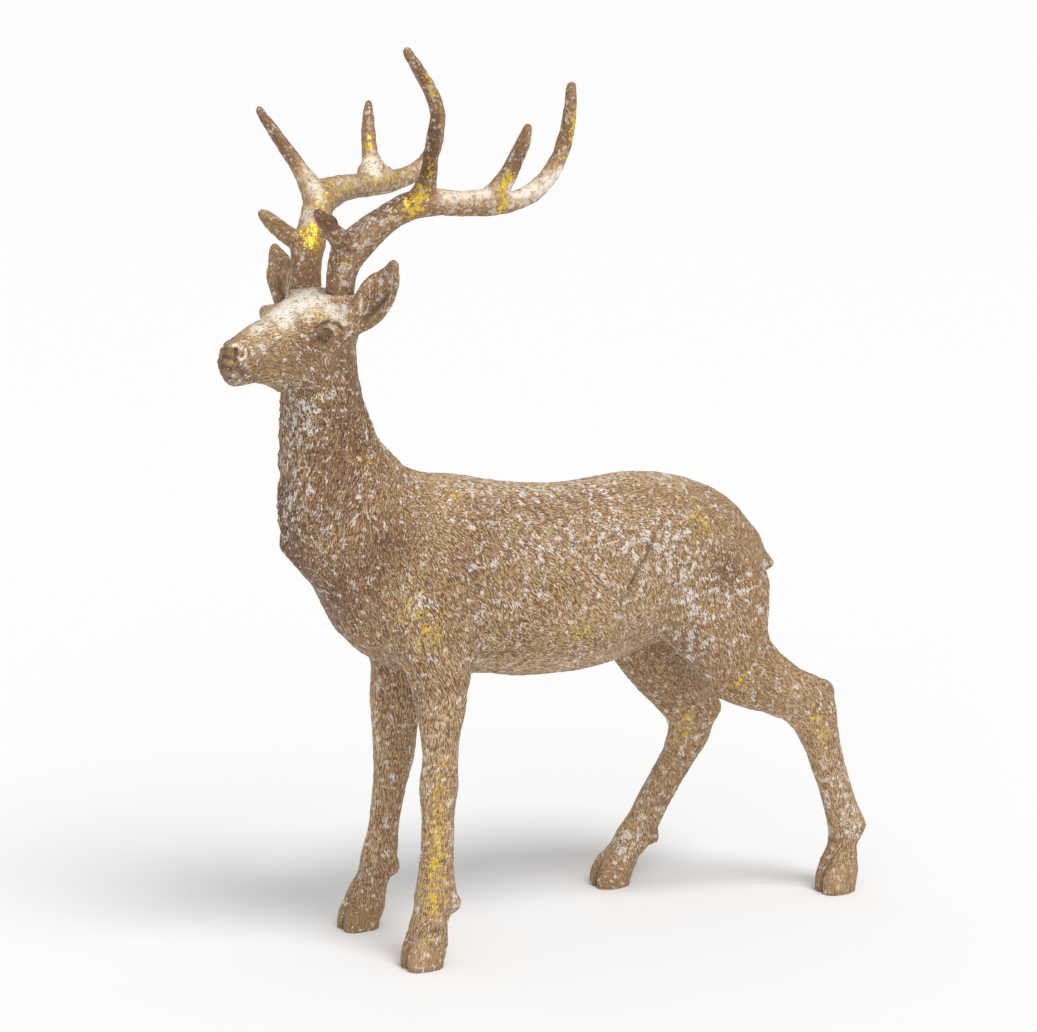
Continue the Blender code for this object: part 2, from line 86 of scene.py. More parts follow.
def skin_over(node, name, voxel, passes):
    """A closed fine skin over a CAD node.

    The node's loose triangles are merged, rounded by Catmull-Clark subdivision, remeshed on cubes
    `voxel` millimetres wide and softened. Each point then takes back, evened over its surroundings,
    what this has moved it away from the solid, so that thin ears and hooves keep their size.
    """
    made = bmesh.new()
    made.from_mesh(bpy.data.objects[node].data)
    bmesh.ops.remove_doubles(made, verts=made.verts[:], dist=1e-6)
    solid = bpy.data.objects.new("solid", bpy.data.meshes.new("solid"))
    made.to_mesh(solid.data)
    made.free()
    obj = bpy.data.objects.new(name, solid.data.copy())
    for each in (solid, obj):
        bpy.context.scene.collection.objects.link(each)
    rounded = obj.modifiers.new("rounded", "SUBSURF")
    rounded.levels = rounded.render_levels = 2
    closed = obj.modifiers.new("closed", "REMESH")
    closed.mode = "VOXEL"
    closed.voxel_size = voxel * MM
    soft = obj.modifiers.new("soft", "SMOOTH")
    soft.factor = 0.5
    soft.iterations = passes
    settle(obj)
    soft_points = gather(obj.data, "co").astype(float)
    onto = obj.modifiers.new("onto", "SHRINKWRAP")
    onto.target = solid
    settle(obj)
    pairs = gather(obj.data, "vertices", 2, "edges", np.int32)
    back = evened(gather(obj.data, "co").astype(float) - soft_points, pairs, 12)
    obj.data.vertices.foreach_set("co", (soft_points + back).astype(np.float32).ravel())
    obj.data.update()
    bpy.data.objects.remove(solid)
    return obj


def in_head(points):
    """Points ahead of the neck's top, to the stag's left and above ground, in millimetres."""
    x, y = points[:, 0] - HEAD_PIVOT[0], points[:, 1] - HEAD_PIVOT[1]
    c, s = math.cos(HEAD_TURN), math.sin(HEAD_TURN)
    return np.stack([x * s - y * c, x * c + y * s, points[:, 2]], 1)


def ease(value, low, high):
    """0 below low, 1 above high, and the smooth step 3t^2 - 2t^3 between."""
    t = np.clip((value - low) / (high - low), 0.0, 1.0)
    return t * t * (3 - 2 * t)


def off_line(points, line):
    """Distance of each point from a line through the given places: the least over its spans."""
    line = np.asarray(line, float)
    nearest = np.full(len(points), 1e9)
    for start, end in zip(line[:-1], line[1:]):
        span = end - start
        t = np.clip((points - start) @ span / max(span @ span, 1e-9), 0.0, 1.0)
        nearest = np.minimum(nearest, np.linalg.norm(points - start - t[:, None] * span, axis=1))
    return nearest


def near(points, line, reach):
    """1 on the line and falling off as a Gaussian of the distance over the reach."""
    line = line if np.ndim(line) > 1 else [line, line]
    return np.exp(-((off_line(points, line) / reach) ** 2))


def chance(cells, seed):
    """A fixed value in 0..1 for each whole-numbered place: its coordinates times large primes,
    mixed by exclusive or and folded twice."""
    x, y, z = (cells[:, i].astype(np.int64).astype(np.uint32) for i in range(3))
    mixed = x * np.uint32(73856093) ^ y * np.uint32(19349663) ^ z * np.uint32(83492791)
    mixed = (mixed + np.uint32(seed * 7919 + 1)) * np.uint32(2654435761)
    mixed = (mixed ^ (mixed >> np.uint32(15))) * np.uint32(2246822519)
    mixed = mixed ^ (mixed >> np.uint32(13))
    return mixed.astype(np.float64) / 4294967295.0


def noise(points, seed=0):
    """Smooth noise in -1..1: the chances of the eight whole places around a point, each weighed
    by the smooth step of how near the point is to it."""
    low = np.floor(points)
    t = points - low
    t = t * t * (3 - 2 * t)
    total = np.zeros(len(points))
    for corner in itertools.product((0, 1), repeat=3):
        weight = np.prod(np.where(corner, t, 1 - t), axis=1)
        total += weight * chance(low + corner, seed)
    return 2 * total - 1


GOLDEN_ANGLE = math.pi * (3 - math.sqrt(5))


def half_sphere(count):
    """Even directions over a half sphere, on a golden-angle spiral."""
    k = np.arange(count) + 0.5
    z = 1 - k / count
    turn = k * GOLDEN_ANGLE
    ring = np.sqrt(1 - z * z)
    return np.stack([ring * np.cos(turn), ring * np.sin(turn), z], 1)


def strands(points, lie, width, length, seed, count=90, kept=3):
    """Noise drawn out along the coat's lie.

    For each of a set of fixed directions the noise is stretched: the place's part along the
    direction is divided by length, and the rest by width. Each point mixes the noises of the
    few directions nearest its own lie, weighed by a high power of the cosine between them. The
    sum is divided by the root of the weights' squares, which keeps its spread the same.
    """
    lines = half_sphere(count)
    match = np.abs(lie @ lines.T)
    best = np.argpartition(-match, kept, axis=1)[:, :kept]
    weight = np.take_along_axis(match, best, 1) ** 60
    total, spread = np.zeros(len(points)), np.sqrt((weight**2).sum(1))
    for k in range(count):
        rows, slot = np.nonzero(best == k)
        here = points[rows]
        along = here @ lines[k]
        drawn = here / width + np.outer(along * (1 / length - 1 / width), lines[k])
        total[rows] += weight[rows, slot] * noise(drawn, seed + k)
    return total / np.maximum(spread, 1e-6)


# How the coat lies: places on the stag's left side and the direction of the hair there, the square
# of how far round a place it holds, and how far tufts and strands swing from it, in radians
COAT_SPREAD = 450.0
TUFT_SWING = 0.45
STRAND_SWING = 0.25
COAT = [
    ((39, -168, 318), (0, 1, 0.4)),
    ((34, -140, 336), (0, 1, 0.5)),
    ((30, -118, 342), (0, 1, -0.1)),
    ((38, -150, 307), (0, 1, -0.4)),
    ((38, -128, 312), (0, 0.8, -0.7)),
    ((34, -125, 298), (0, 0.6, -0.9)),
    ((36, -105, 320), (0, 0.2, -1)),
    ((27, -140, 284), (0, 0.1, -1)),
    ((18, -152, 262), (0, 0.0, -1)),
    ((32, -128, 270), (0, -0.55, -0.8)),
    ((33, -118, 250), (0, -0.65, -0.75)),
    ((20, -98, 290), (0, 0.15, -1)),
    ((28, -100, 265), (0, -0.1, -1)),
    ((20, -145, 230), (0, 0.0, -1)),
    ((40, -115, 225), (0, -0.3, -0.95)),
    ((36, -85, 240), (0, 0.25, -1)),
    ((16, -70, 247), (0, 0.8, -0.6)),
    ((20, -130, 200), (0, 0.15, -1)),
    ((50, -90, 200), (0, 0.3, -0.95)),
    ((54, -85, 170), (0, 0.3, -1)),
    ((46, -60, 225), (0, 0.5, -0.85)),
    ((52, -45, 195), (0, 0.5, -0.85)),
    ((50, -40, 165), (0, 0.6, -0.75)),
    ((20, -20, 234), (0, 0.95, -0.3)),
    ((40, -10, 222), (0, 0.7, -0.7)),
    ((53, 0, 195), (0, 0.55, -0.85)),
    ((48, 5, 160), (0, 0.65, -0.7)),
    ((25, 5, 138), (0, 1, 0)),
    ((20, 45, 235), (0, 0.95, -0.3)),
    ((40, 40, 222), (0, 0.75, -0.65)),
    ((52, 45, 190), (0, 0.35, -0.95)),
    ((50, 50, 165), (0, 0.15, -1)),
    ((40, 85, 215), (0, 0.6, -0.8)),
    ((52, 85, 185), (0, 0.3, -1)),
    ((50, 80, 150), (0, 0.35, -0.95)),
    ((45, 118, 175), (0, 0.15, -1)),
    ((15, 112, 205), (0, 0.7, -0.8)),
    ((50, 110, 130), (0, 0.75, -0.65)),
    ((50, 140, 110), (0, 0.6, -0.8)),
    ((50, 165, 70), (0, 0.25, -1)),
    ((50, 172, 35), (0, 0.0, -1)),
    ((50, -78, 120), (0, 0.0, -1)),
    ((50, -78, 60), (0, 0.0, -1)),
    ((50, -85, 20), (0, -0.2, -1)),
]


def coat_lie(points, normals):
    """The hair's direction at each point.

    The directions of the coat's places are weighed by a Gaussian of the distance, mirrored to
    the stag's right side, laid flat on the skin and swung a little to each side in tufts.
    """
    places = np.array([p for p, _ in COAT], float)
    ways = np.array([w for _, w in COAT], float)
    folded = points.copy()
    folded[:, 0] = MIDDLE_X + np.abs(points[:, 0] - MIDDLE_X)
    total = np.zeros((len(points), 3))
    for place, way in zip(places, ways):
        away = ((folded - place) ** 2).sum(1)
        weight = np.exp(-away / COAT_SPREAD) + 1e-5 / (1 + away)
        total += weight[:, None] * way / np.linalg.norm(way)
    swing = TUFT_SWING * noise(points / 11.0, 5) + STRAND_SWING * noise(points / 4.5, 6)
    total -= normals * (total * normals).sum(1, keepdims=True)
    total /= np.maximum(np.linalg.norm(total, axis=1, keepdims=True), 1e-6)
    beside = np.cross(normals, total)
    return total * np.cos(swing)[:, None] + beside * np.sin(swing)[:, None]


# From an ear's root to its tip, in millimetres ahead, outwards and up in the head's axes
EAR_LINE = (-10.0, 31.0, 35.0)


def ear_lie(points, normals, lie):
    """The coat's lie, but on the ears the hair runs from their roots to their tips."""
    head = in_head(points)
    side = np.where(head[:, 1] > 0, 1.0, -1.0)
    on_ear = (ease(np.abs(head[:, 1]), 19, 24) * ease(head[:, 2], 322, 328))[:, None]
    c, s = math.cos(HEAD_TURN), math.sin(HEAD_TURN)
    ahead, left, up = EAR_LINE[0], EAR_LINE[1] * side, EAR_LINE[2]
    way = np.stack([ahead * s + left * c, -ahead * c + left * s, np.full(len(points), up)], 1)
    way /= np.linalg.norm(way, axis=1, keepdims=True)
    mixed = lie * (1 - on_ear) + way * on_ear
    mixed -= normals * (mixed * normals).sum(1, keepdims=True)
    return mixed / np.maximum(np.linalg.norm(mixed, axis=1, keepdims=True), 1e-6)


# The eye, ahead, left and up in the head's axes, its half length and half height, how far the ball
# stands out and how deep the groove in its lid is
EYE = (20.8, 16.1, 320.4)
EYE_HALF = (3.1, 2.9)
EYE_RISE = 1.1
LID_GROOVE = 0.7

# The face's small forms: a line in the head's axes, its reach and its rise in millimetres, how dark
# it is painted, as painted shade together with the dark wash in its grooves and holes, and how pale
# it is painted, as dry-brushing and as painted highlight on its ridges
FACE = [
    ([(24.5, 15.5, 318.5), (29, 14.5, 316)], 1.1, -0.5, 0.45, 0),
    ([(33.9, 13.3, 329.5), (28.7, 15.9, 329.9), (21.1, 16.6, 329.4), (15.5, 18.2, 327.6),
      (13.7, 21.6, 325.2)], 1.3, 0.8, 0, 0.8),
    ([(26, 16.4, 324.2), (23, 16.7, 326), (18.7, 16.6, 326.6), (15, 18.2, 325.4),
      (14, 20.5, 323.3)], 0.95, -0.85, 0.75, 0),
    ([(23.4, 15.2, 322.2), (21.3, 16, 324.2), (18.5, 16.3, 324.5), (16.4, 16.9, 323),
      (15.5, 17.7, 320)], 0.75, 0.75, 0, 0.6),
    ([(66.7, 5.2, 316.9), (66.3, 5, 314), (67.2, 6, 311.3)], 0.9, -1.2, 0.75, 0),
    ([(66.2, 5.8, 313.2), (65.5, 6.6, 311.7), (63.5, 7.8, 312.6), (62.7, 7.7, 315.4),
      (63.1, 7.3, 316.8)], 0.75, 0.9, -0.3, 1.0),
    ([(64.7, 6.8, 314.6), (64.5, 6.9, 314.2)], 0.8, -0.5, 0.2, 0),
    ([(68.3, -3.2, 316.9), (69.5, 0, 317), (66.7, 5.2, 317.2)], 0.8, -0.5, 0.55, 0),
    ([(70.5, 0, 313), (69.6, 1.2, 313), (68.6, 3, 312.4), (67.4, 4.8, 311.4)], 0.85, -1.0, 0.65, 0),
    ([(70.8, 0, 308.5), (70.5, 0.7, 308.3), (69.5, 4, 307.6)], 1.0, -1.0, 0.85, 0),
    ([(67.6, 6.1, 309), (65.5, 6.6, 306.5), (63.6, 6.2, 303.9)], 0.85, -0.55, 0.35, 0),
    ([(69.8, 1.5, 310.6), (68, 5, 310)], 1.1, 0.55, -0.1, 0.45),
    ([(69, 2, 305.4), (66, 5, 304.6)], 1.5, 0.45, -0.2, 0.6),
    ([(68.9, 2.4, 303.6), (66.5, 4.5, 302.5)], 0.8, -0.4, 0.3, 0),
    ([(67, 4, 301.5), (62, 5.5, 300)], 1.6, 0.1, 0, 0.5),
    ([(70, 0, 316), (70.5, 0, 308)], 0.7, -0.5, 0.3, 0),
    ([(46, 9.5, 302.5), (36, 11, 299.5), (26, 10.5, 296), (17, 12, 297)], 2.0, 0.4, 0, 0),
    ([(44, 11, 311.5), (34, 13, 311), (24, 15.8, 310)], 2.2, 0.45, 0, 0),
    ([(50, 11, 308.5), (40, 13, 307.5), (33, 14, 307)], 1.1, -0.4, 0.35, 0),
    ([(8.5, 29.4, 328.8), (6.5, 32.5, 331.7), (4.5, 37.4, 336.2), (4.2, 40, 341)], 2.1, -1.3, 0.8, 0),
    ([(7.9, 28.6, 330.4), (6.9, 31.5, 333.6), (5, 36, 338.6)], 0.6, 0.5, -0.3, 0.4),
    ([(7.6, 27, 331.5), (7.4, 27, 338)], 1.4, 0.2, 0, 0.8),
    ([(4.8, 29.8, 341), (4.4, 31, 346)], 1.3, 0.1, 0, 0.6),
]


def face_relief(points):
    """How far the face is raised, in millimetres, its painted shade and dark paint, its dry-brushing
    and painted highlight, and the muzzle.

    The eye is a half ball inside a lid, and its radius r is 1 on the ball's rim: the ball rises as
    the root of 1 - r^2 and its groove is a Gaussian of r. The other forms are Gaussians of the
    distance from their lines. The muzzle is the bare, grained skin ahead of a slanting plane.
    """
    head = in_head(points)
    side = np.where(head[:, 1] > 0, 1.0, -1.0)
    middle = np.abs(head[:, 1]) < 1.2
    both = head * np.stack([np.ones(len(head)), np.where(middle, 1.0, side), np.ones(len(head))], 1)
    rise = np.zeros(len(points))
    dark = np.zeros(len(points))
    pale = np.zeros(len(points))
    for line, reach, height, shade_and_wash, brush_and_highlight in FACE:
        here = near(both, line, reach)
        rise += height * here
        # A line's darkness is painted shade with the dark wash in its groove, and its paleness is
        # dry-brushing and painted highlight on its ridge
        dark += shade_and_wash * here
        pale = np.maximum(pale, brush_and_highlight * here)

    ahead, up = both[:, 0] - EYE[0], both[:, 2] - EYE[2]
    beside = ease(both[:, 1], 9, 12) * (1 - ease(both[:, 1], 20.5, 24))
    r = np.hypot(ahead / EYE_HALF[0], up / EYE_HALF[1])
    rise += beside * EYE_RISE * np.sqrt(np.clip(1 - r * r, 0, 1))
    rise -= beside * LID_GROOVE * np.exp(-(((r - 1.08) / 0.18) ** 2))
    # The ball is painted dark and its lid's groove darker as painted shade; a small spot on the ball
    # is left lighter as a painted highlight
    dark += beside * (0.75 * np.exp(-((r / 1.1) ** 4)) + 0.3 * np.exp(-(((r - 1.1) / 0.25) ** 2)))
    dark -= 0.35 * near(both, [(19, 16.5, 321.8), (18.8, 16.5, 320.6)], 1.1)

    muzzle = ease(both[:, 0] - 66.3 + 0.29 * (316 - both[:, 2]), -1.0, 1.0)
    muzzle *= 1 - ease(both[:, 2], 316.8, 317.8)
    muzzle *= ease(both[:, 2], 297.0, 299.5)
    dark += 0.34 * muzzle * (1 + 0.5 * noise(points / 1.5, 22))
    rise += 0.35 * muzzle * noise(points / 1.6, 21)
    return rise, np.clip(dark, 0, 1), pale, muzzle


# Folds of the trunk: a line, its half width, its depth and how dark the shade painted in it is
FOLDS = [
    ([(49, 50, 208), (51, 43, 197), (53, 34, 186), (53.5, 31, 179)], 1.3, 1.1, 0.9),
    ([(38, -50, 153.5), (43, -42, 154.5), (43.5, -30, 154.2)], 1.2, 0.8, 0.7),
    ([(52, 60, 140), (55, 75, 133), (57, 90, 124)], 3.5, 0.5, 0.2),
    ([(50, 92, 205), (54, 95, 180), (54, 95, 155)], 6.0, 0.7, 0.1),
    ([(50, -62, 215), (54, -58, 190), (52, -55, 165)], 6.0, 0.6, 0.15),
    ([(35, -103, 225), (46, -106, 200), (48, -108, 175)], 6.0, 0.6, 0.1),
]

# Hooves: the middle of each sole, how far round it the hoof reaches, the height of its crown above
# the sole's middle and how much that rises for each millimetre ahead, and the cleft's depth
SOLES = [(49.5, -86.1), (-21.5, -86.6), (49.5, 166.4), (-19.5, 65.4)]
HOOF_REACH = 22.0
CROWN_HEIGHT = 15.5
CROWN_SLOPE = 0.35
CLEFT_DEPTH = 1.3


def limb_relief(points):
    """Raised and sunk forms of trunk and legs, in millimetres, the shade painted in them, and the
    hooves.

    Folds are Gaussian grooves with a low swell on each side. A hoof's cleft is a groove on the
    middle plane of the hoof, deepest at the front, and its crown a soft ring where the hair ends.
    """
    folded = points.copy()
    folded[:, 0] = MIDDLE_X + np.abs(points[:, 0] - MIDDLE_X)
    rise = np.zeros(len(points))
    dark = np.zeros(len(points))
    for line, width, depth, shade in FOLDS:
        away = off_line(folded, line)
        rise -= depth * np.exp(-((away / width) ** 2))
        rise += 0.35 * depth * np.exp(-(((away - 2.4 * width) / (1.3 * width)) ** 2))
        # Painted shade along the fold's groove
        dark += shade * np.exp(-((away / (0.8 * width)) ** 2))
    horn = np.zeros(len(points))
    for x, y in SOLES:
        around = np.hypot(points[:, 0] - x, points[:, 1] - y) < HOOF_REACH
        level = points[:, 2] + CROWN_SLOPE * (points[:, 1] - y)
        here = (1 - ease(level, CROWN_HEIGHT - 3, CROWN_HEIGHT)) * around
        horn = np.maximum(horn, here)
        ahead = ease(y - points[:, 1], -2, 5)
        cleft = here * ahead * np.exp(-(((points[:, 0] - x) / 0.85) ** 2))
        cleft *= 1 - ease(points[:, 2], 11, 15)
        rise -= CLEFT_DEPTH * cleft
        # Painted shade in the cleft
        dark += 0.7 * cleft
        rise += 0.35 * around * np.exp(-(((level - CROWN_HEIGHT) / 1.6) ** 2))
    return rise, np.clip(dark, 0, 1), horn


# Where the casting's form differs from the solid's a little: a place, how far round it the move
# reaches, and the move along REAR and upwards, all in millimetres
REAR = (0.491, 0.871)
FORM = [
    ((14, -141, 213), 7, -3.4, -0.3),
    ((14, -143, 232), 6, -1.6, 0.0),
    ((12, -143, 246), 6, 1.0, 0.0),
    ((13, -143, 245), 10, 1.9, 0.0),
    ((14, -142, 267), 8, 1.9, 0.0),
    ((17, -142, 283), 9, 4.2, 0.0),
    ((27, -147, 293), 6.5, -0.3, -1.9),
    ((34, -181.5, 312), 6, -1.7, 0.0),
    ((33, -178, 321), 5, 0.8, -1.3),
    ((31, -164, 325), 9, 0.0, 1.3),
    ((13, -149, 330), 5, -2.3, 2.0),
    ((15, -131, 340), 10, -0.8, 1.6),
    ((17, -99, 288), 16, -1.2, 0.0),
    ((28, -102, 272), 9, 1.7, 0.0),
    ((18, -84, 256), 10, 1.2, 0.6),
    ((25, -84, 250), 7, 0.3, 1.0),
    ((22, -70, 244), 7, 0.0, -1.0),
    ((20, -2, 232), 14, 0.0, 1.4),
    ((18, 49, 233), 12, 0.0, 1.2),
    ((29, 94, 223), 10, -0.4, -2.8),
    ((14, -121, 183), 6, 3.4, 0.0),
    ((14, -115, 170), 7, -1.0, -0.4),
    ((-15, -82, 142), 8, 1.8, 0.0),
    ((17, -34, 138), 11, 0.0, 2.6),
    ((33, -43, 144), 9, 0.0, 2.0),
    ((-10, 65, 128), 6, -1.2, -0.8),
    ((45, 118, 176), 9, 1.3, 0.0),
    ((31, 128, 183), 5, 5.5, -1.5),
    ((49, 123, 148), 8, -4.2, 0.0),
    ((40, 122, 177), 7, 1.6, 0.0),
    ((-8, 114, 106), 6, 1.6, 0.3),
    ((-17, 131, 103), 5.5, -4.0, -3.0),
    ((-11, 127, 90), 5, 2.4, 0.0),
    ((-11, 111, 67), 6, -1.4, 0.0),
    ((-11, 95, 45), 6, -1.4, 0.0),
    ((-19, 104, 81), 7, -1.4, 0.0),
    ((-23, 66, 22), 7, 1.2, 0.0),
    ((-21, 78, 39), 7, 1.6, 0.0),
    ((-22, -88, 30), 7, 1.8, 0.0),
    ((-13, 77, 9), 6, -1.2, 0.0),
    ((57, 176, 37), 5, 1.4, 0.0),
    ((43, 90, 122), 8, 0.0, -5.0),
    ((48, 99, 116), 7, 0.0, -1.8),
    ((47, 118, 105), 7, 0.0, 1.6),
    ((53, 142, 127), 7, -0.4, -2.2),
    ((52, 147, 78), 6, 0.9, 0.0),
    ((52, 155, 60), 6, 0.9, 0.0),
    ((46, -111, 344), 6, -1.0, 1.0),
    ((57, -106, 353), 6, -2.0, 1.8),
    ((61, -106, 347), 5, 1.5, 0.0),
    ((-25, -128, 342), 5, -1.5, 0.0),
    ((-26, -127, 355), 4, 0.0, 3.2),
]


def reformed(points, moves):
    """The points with each of the moves, weighed by a Gaussian of the distance."""
    moved = points.copy()
    for place, reach, rear, up in moves:
        weight = np.exp(-(((points - place) / reach) ** 2).sum(1))
        moved += weight[:, None] * np.array([REAR[0] * rear, REAR[1] * rear, up])
    return moved


body = skin_over("body", "casting", BODY_VOXEL, 8)
points = reformed(gather(body.data, "co").astype(float) / MM, FORM)
normals = gather(body.data, "normal").astype(float)

# The soles stay flat: what the smoothing lifted goes back to the ground
LIFTED = 0.7
points[:, 2] -= LIFTED * (1 - ease(points[:, 2], 0.5, 4.0))
points[:, 2] = np.maximum(points[:, 2], 0.0)

lie = ear_lie(points, normals, coat_lie(points, normals))
face_rise, face_dark, face_pale, muzzle = face_relief(points)
limb_rise, limb_dark, horn = limb_relief(points)

# The parts of the stag, 1 on each and 0 off it
head = in_head(points)
on_head = ease(points[:, 2], 292, 304)
on_head *= 1 - ease(points[:, 1] + 0.6 * (300 - points[:, 2]), -98, -92)
on_ruff = ease(points[:, 2], 205, 232) * (1 - ease(points[:, 2], 285, 300))
on_ruff *= 1 - ease(points[:, 1], -118, -92)
on_leg = 1 - ease(points[:, 2], 95, 135)
from_eye = np.hypot(head[:, 0] - EYE[0], head[:, 2] - EYE[2]) / 6.5
on_eye = np.hypot((np.abs(head[:, 1]) - EYE[1]) / 8, from_eye) < 1
bare = np.clip(muzzle + horn + 0.9 * on_eye, 0, 1)

# The carved hair: the width and length of its strands, its fine strands and its tufts, and how deep
# the cuts are and the tufts stand, in millimetres. The tufts of the neck's ruff stand furthest
STRAND = (1.8, 6.5)
FINE_STRAND = (1.2, 4.4)
TUFT = (7.0, 17.0)
CUT_DEPTH = 0.51
TUFT_HEIGHT = 0.16
RUFF_HEIGHT = 1.0


def parted(values, slope):
    """0 in the cut between two strands, where the noise is 0, and 1 on their backs."""
    return np.minimum(np.abs(values) / slope, 1)


coarse = parted(strands(points, lie, *STRAND, 100), 0.42)
fine = parted(strands(points, lie, *FINE_STRAND, 300), 0.42)
share = 0.55 * (1 - 0.7 * on_head)
strand = share * coarse + (1 - share) * fine
tufts = strands(points, lie, *TUFT, 500)
depth = CUT_DEPTH * (1 - 0.45 * on_head) * (1 - 0.4 * on_leg) * (1 + 0.5 * on_ruff) * (1 - bare)
rise = face_rise + limb_rise
rise += depth * (strand - 0.62)
rise += tufts * (TUFT_HEIGHT + RUFF_HEIGHT * on_ruff) * (1 - bare) * (1 - 0.6 * on_head)
points += normals * rise[:, None]
points[:, 2] = np.maximum(points[:, 2], 0.0)

# What the paint follows: 1 on the crests of the hair and 0 in its cuts, and the painted shade of the
# hollows, grooves, creases and clefts, with the dark paint of the eye and muzzle
crest = np.clip(strand * (1 - bare) + 0.6 * bare, 0, 1)
shade = np.clip(np.maximum(face_dark, limb_dark), 0, 1)


def paint(mesh, name, values):
    """Stores one value, or one direction, at each point of the mesh."""
    kind = "FLOAT_VECTOR" if values.ndim > 1 else "FLOAT"
    field = "vector" if values.ndim > 1 else "value"
    layer = mesh.attributes.new(name, kind, "POINT")
    layer.data.foreach_set(field, values.astype(np.float32).ravel())


def thin(obj, triangles, keep):
    """Thins the skin to a number of triangles; where keep is 1 it stays finest, in eight steps."""
    group = obj.vertex_groups.new(name="thinned")
    levels = np.round((1 - 0.75 * np.clip(keep, 0, 1)) * 8) / 8
    for level in np.unique(levels):
        group.add(np.flatnonzero(levels == level).tolist(), float(level), "REPLACE")
    modifier = obj.modifiers.new("thinned", "DECIMATE")
    modifier.ratio = triangles / (2.0 * len(obj.data.polygons))
    modifier.vertex_group = group.name
    modifier.vertex_group_factor = 1.0
    settle(obj)
    obj.vertex_groups.clear()


# Where gold leaf, silver glitter, cream brushing and rust-brown wash settled on the side that the
# buyer sees, each as a line or a place, its reach in millimetres and its strength. The cream on the
# forehead, the nose's top and the top of the back and neck is also painted highlight from the light
# above, and the rust-brown under the throat and chest and on the head's side is also painted shade.
GOLD = [
    ([(53, -90, 190), (54, -84, 170)], 9, 0.5),
    ([(46, 78, 216), (45, 86, 205)], 8, 0.4),
    ([(50, -8, 158), (49, 14, 164)], 9, 0.34),
    ((34, -58, 236), 5, 0.55),
    ([(57, -78, 108), (57, -80, 84)], 5, 0.5),
    ([(57, -80, 84), (56, -82, 56), (57, -84, 32)], 6, 0.62),
    ((57, 97, 127), 5, 0.6),
    ([(58, 145, 102), (58, 150, 90)], 5, 0.55),
    ([(-10, 108, 92), (-11, 104, 80)], 6, 0.6),
    ((59, -88, 14), 5, 0.4),
    ((33, -131, 293), 4.5, 0.5),
    ([(36, -152, 331), (39, -140, 332), (40, -128, 330)], 3.6, 0.7),
    ([(32, -118, 262), (36, -105, 255)], 7, 0.3),
    ([(54, -62, 215), (40, -70, 232)], 9, 0.2),
    ([(36, -171, 322), (37, -178, 319)], 3.0, 0.4),
]
SILVER = [
    ([(28, -140, 284), (22, -150, 262), (20, -152, 240)], 13, 0.95),
    ([(20, -96, 315), (22, -92, 285), (28, -84, 258)], 12, 0.6),
    ([(20, -50, 236), (20, 0, 231), (20, 55, 236)], 16, 0.5),
    ([(50, 30, 205), (52, 60, 195), (50, 75, 170)], 22, 0.55),
    ([(50, -30, 210), (48, 0, 212)], 14, 0.5),
    ((50, -35, 180), 22, 0.3),
    ((54, -90, 185), 8, 0.6),
    ([(36, -124, 330), (30, -118, 340)], 7, 0.7),
    ([(34, -160, 327), (26, -132, 340)], 11, 0.8),
    ([(46, -111, 344), (56, -106, 352)], 8, 0.35),
    ([(33, -176, 311), (36, -174, 302)], 5, 0.7),
    ((-14, -92, 34), 6, 1.0),
    ([(-12, 75, 30), (-12, 68, 24)], 7, 1.0),
    ([(56, 165, 70), (56, 170, 40)], 10, 0.5),
    ((50, 75, 150), 10, 0.6),
]
# Cream dry-brushing; on the forehead, the nose's top and the top of the back and neck it is also
# painted highlight
PALE = [
    ([(34, -165, 325), (30, -150, 332)], 8, 0.55),
    ([(30, -148, 333), (28, -132, 340)], 12, 1.0),
    ([(36, -144, 332), (38, -132, 333), (37, -124, 330)], 7, 0.75),
    ([(37, -178, 319), (39, -175, 317.5)], 2.2, 0.9),
    ([(18, -60, 242), (18, 0, 234), (18, 55, 240), (20, 85, 232)], 12, 0.45),
    ([(16, -98, 310), (16, -94, 285), (18, -84, 258)], 8, 0.4),
    ([(40, -45, 146), (36, 0, 140), (36, 35, 145)], 10, 0.4),
    ((58, 163, 10), 9, 0.4),
    ((58, -92, 8), 9, 0.35),
    ([(50, 0, 165), (50, 45, 165)], 16, 0.22),
    ([(50, -80, 125), (50, -82, 30)], 13, 0.22),
    ([(-20, -80, 125), (-20, -88, 40)], 12, 0.3),
    ([(-18, 112, 95), (-18, 70, 25)], 13, 0.35),
    ([(50, 130, 110), (50, 170, 45)], 13, 0.3),
]
# Rust-brown wash; under the throat and chest and on the head's side it is also painted shade
RUST_AND_SHADE = [
    ([(36, -12, 226), (32, 22, 228)], 9, 0.3),
    ((53, 90, 186), 9, 0.9),
    ((50, 72, 150), 9, 0.4),
    ((39, -138, 317), 10, 0.6),
    ([(38, -130, 326), (38, -130, 316)], 6, 0.5),
    ([(42, -122, 333), (50, -111, 340)], 6, 0.5),
    ([(20, -120, 285), (26, -118, 262), (24, -120, 240)], 20, 1.0),
    ([(14, -140, 235), (16, -138, 205)], 16, 1.0),
    ([(20, -125, 185), (34, -100, 215)], 18, 0.95),
    ((52, -80, 185), 16, 0.35),
    ([(50, -60, 200), (48, -45, 225)], 14, 0.3),
    ((-10, -85, 140), 16, 0.35),
    ((-14, -90, 30), 12, 0.3),
    ([(30, -178, 311), (30, -176, 303)], 9, 0.5),
]


